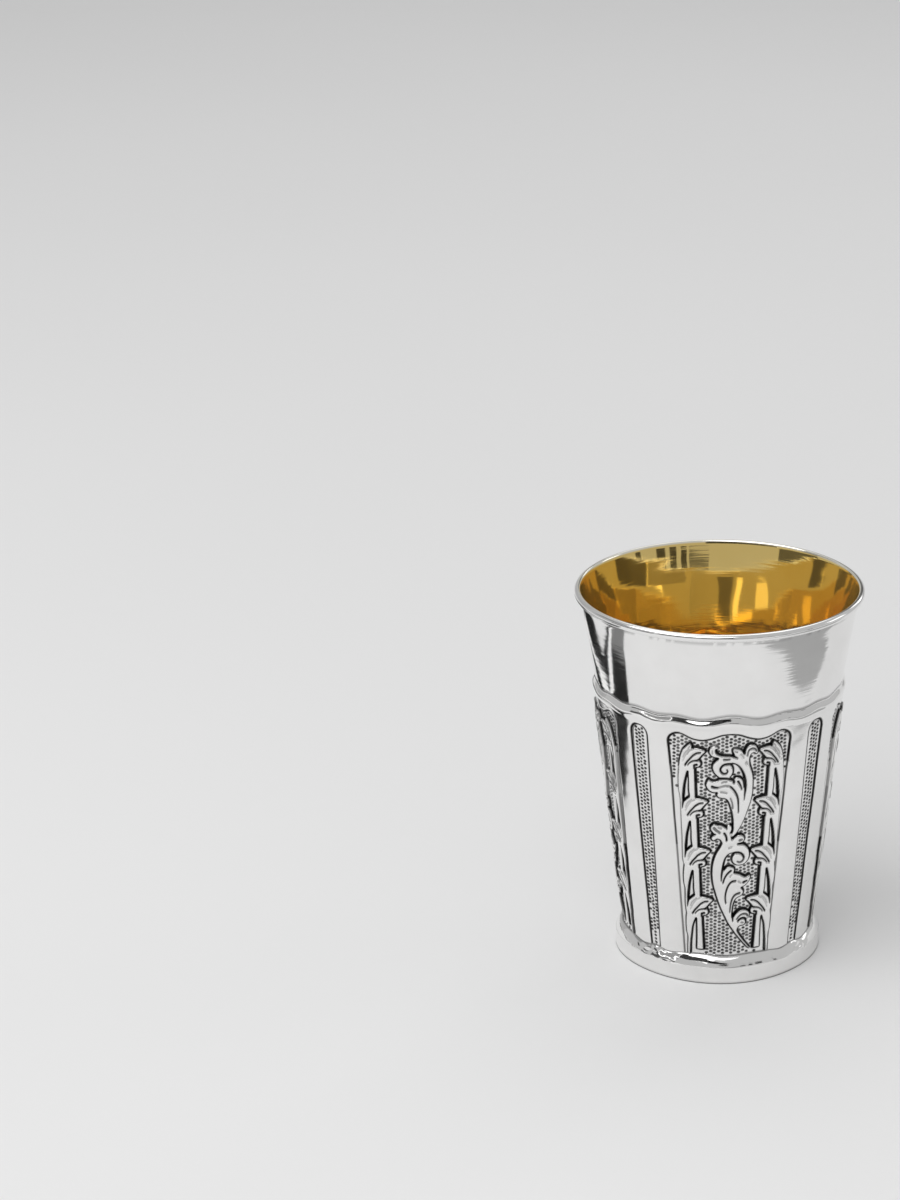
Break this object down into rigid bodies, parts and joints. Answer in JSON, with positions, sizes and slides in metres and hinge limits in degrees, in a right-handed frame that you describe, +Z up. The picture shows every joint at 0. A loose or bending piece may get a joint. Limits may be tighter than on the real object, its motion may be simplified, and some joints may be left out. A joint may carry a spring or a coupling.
{
  "type": "kiddush cup",
  "caption": "Footed silver kiddush beaker with a gilt inside, a plain collar and rolled rim, and acanthus scroll panels between leaf columns.",
  "frame": {"origin": "centre of the underside of the foot ring, at the level that the cup stands on", "axes": "+Z up along the cup's axis, -Y towards the middle of the first acanthus panel, +X to the right of someone looking at that panel"},
  "size_m": [0.066, 0.066, 0.0888],
  "materials": {
    "polished_silver": "polished sterling silver with dark patina in the chased grooves",
    "gilt_inside": "polished yellow gilding on the inside of the cup"
  },
  "bodies": {
    "root": {"beaker": "polished_silver"}
  },
  "joints": []
}
